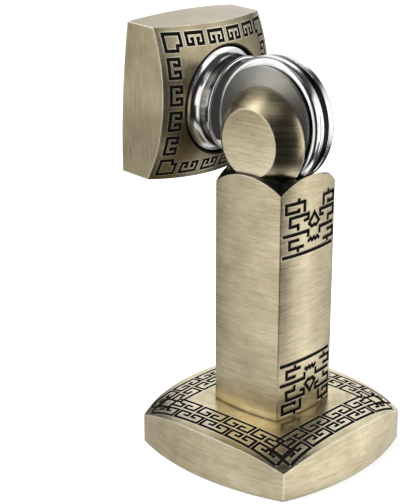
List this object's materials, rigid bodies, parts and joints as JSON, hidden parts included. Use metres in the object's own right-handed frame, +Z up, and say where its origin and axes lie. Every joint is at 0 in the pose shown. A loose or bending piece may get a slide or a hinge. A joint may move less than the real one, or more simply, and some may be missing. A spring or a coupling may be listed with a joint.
{
  "type": "magnetic door stop",
  "caption": "Floor post on a square base with a magnet head, and the door plate whose sprung striker bell meets it; engraved antique brass and chrome.",
  "frame": {"origin": "middle of the base's underside, on the floor, at the centre of the floor plate's hole circle", "axes": "+Z up along the column; the head's axis is parallel to Y, with the dome's flat towards -Y and the magnet towards +Y; the door unit stands at -X with its bell facing +X"},
  "size_m": [0.0724, 0.0596, 0.1145],
  "materials": {
    "antique_brass": "brushed antique brass with dark engraved lines",
    "polished_chrome": "polished",
    "satin_steel": "satin",
    "zinc_steel": "zinc plated",
    "screw_steel": "oiled",
    "spring_steel": "drawn wire",
    "ferrite": "bare ferrite",
    "black_rubber": "moulded",
    "black_nylon": "moulded"
  },
  "bodies": {
    "floor_unit": {"base_shell": "antique_brass", "floor_plate": "zinc_steel", "base_grub_screw": "screw_steel", "column": "antique_brass", "column_bolt": "screw_steel", "column_washer": "zinc_steel", "column_spring_washer": "screw_steel", "head_ball": "antique_brass", "head_stud": "screw_steel", "head_grub_screw": "screw_steel", "back_disc": "satin_steel", "magnet_cup": "polished_chrome", "rubber_ring": "black_rubber", "shoulder_screw": "screw_steel", "buffer_spring": "spring_steel"},
    "magnet_head": {"front_ring": "polished_chrome", "pole_cup": "satin_steel", "magnet": "ferrite"},
    "door_unit": {"door_plate": "antique_brass", "door_bracket": "zinc_steel", "door_grub_screw": "screw_steel", "guide_bush": "black_nylon", "striker_spring": "spring_steel", "cushion_ring": "black_rubber"},
    "striker": {"striker_bell": "polished_chrome", "striker_face": "satin_steel", "striker_bolt": "screw_steel", "striker_washer": "zinc_steel", "striker_nut": "zinc_steel"}
  },
  "joints": [
    {"name": "magnet_cushion", "type": "slide", "parent": "floor_unit", "child": "magnet_head", "axis": [0, -1, 0], "range_m": [0, 0.0006], "stiffness_N_per_m": 3000, "springref_m": -0.0005},
    {"name": "door_release", "type": "slide", "parent": "floor_unit", "child": "door_unit", "axis": [-0.9974, 0, 0.0715], "range_m": [0, 0.03]},
    {"name": "striker_press", "type": "slide", "parent": "door_unit", "child": "striker", "axis": [-0.9974, 0, 0.0715], "range_m": [0, 0.0015], "stiffness_N_per_m": 1500, "springref_m": -0.001}
  ]
}
